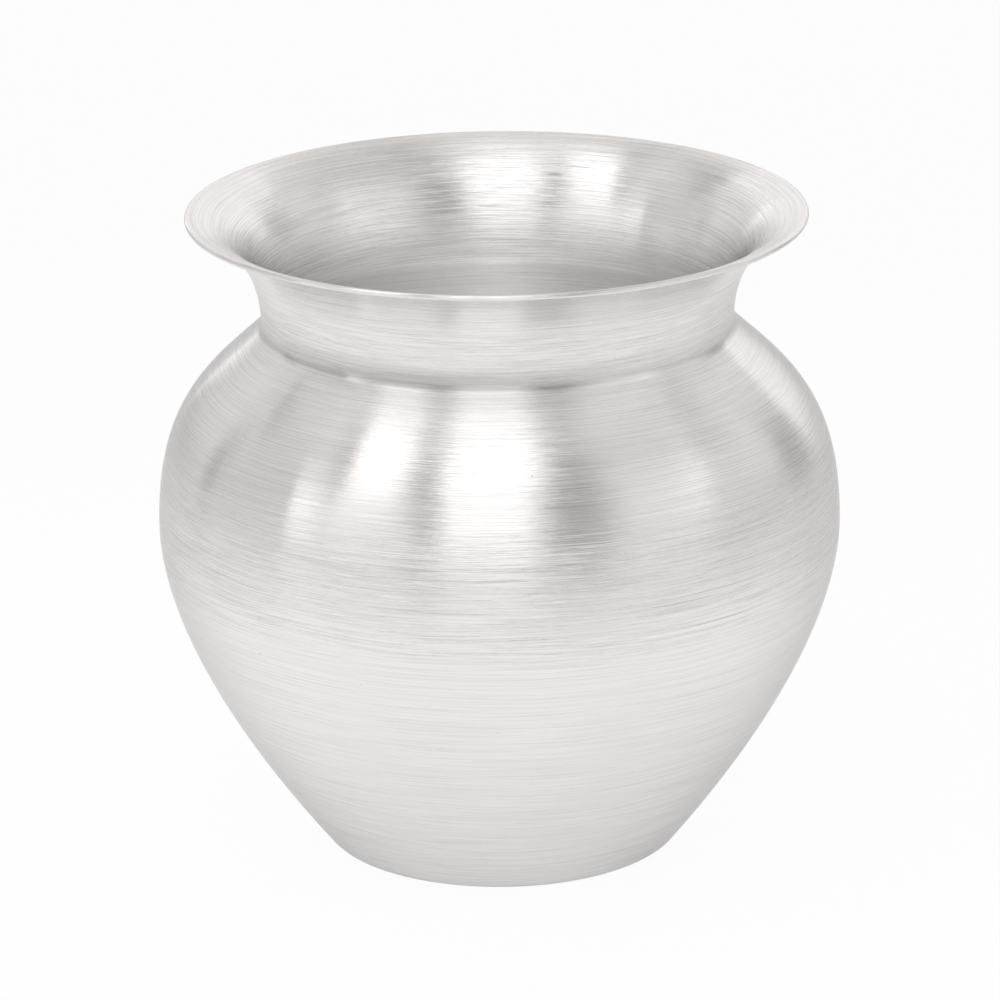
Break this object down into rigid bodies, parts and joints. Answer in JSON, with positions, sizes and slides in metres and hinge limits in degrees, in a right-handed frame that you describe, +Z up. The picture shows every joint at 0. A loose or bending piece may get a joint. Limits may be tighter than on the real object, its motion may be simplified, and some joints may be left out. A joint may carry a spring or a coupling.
{
  "type": "lota",
  "caption": "Round-bellied brushed-metal water pot with a narrow neck and a wide flared mouth, for holding, carrying and pouring water.",
  "frame": {"origin": "centre of the base, on the surface that the pot stands on", "axes": "+Z up along the axis that the pot is turned about, out through the mouth; -Y towards the viewer of the picture"},
  "size_m": [0.124, 0.124, 0.1183],
  "materials": {
    "sheet_metal": "bright white metal, brushed round the axis",
    "braze": "dressed filler metal, brushed with the sheet"
  },
  "bodies": {
    "root": {"lower_bowl": "sheet_metal", "shoulder_shell": "sheet_metal", "neck_and_mouth": "sheet_metal", "belly_braze": "braze", "neck_braze": "braze"}
  },
  "joints": []
}
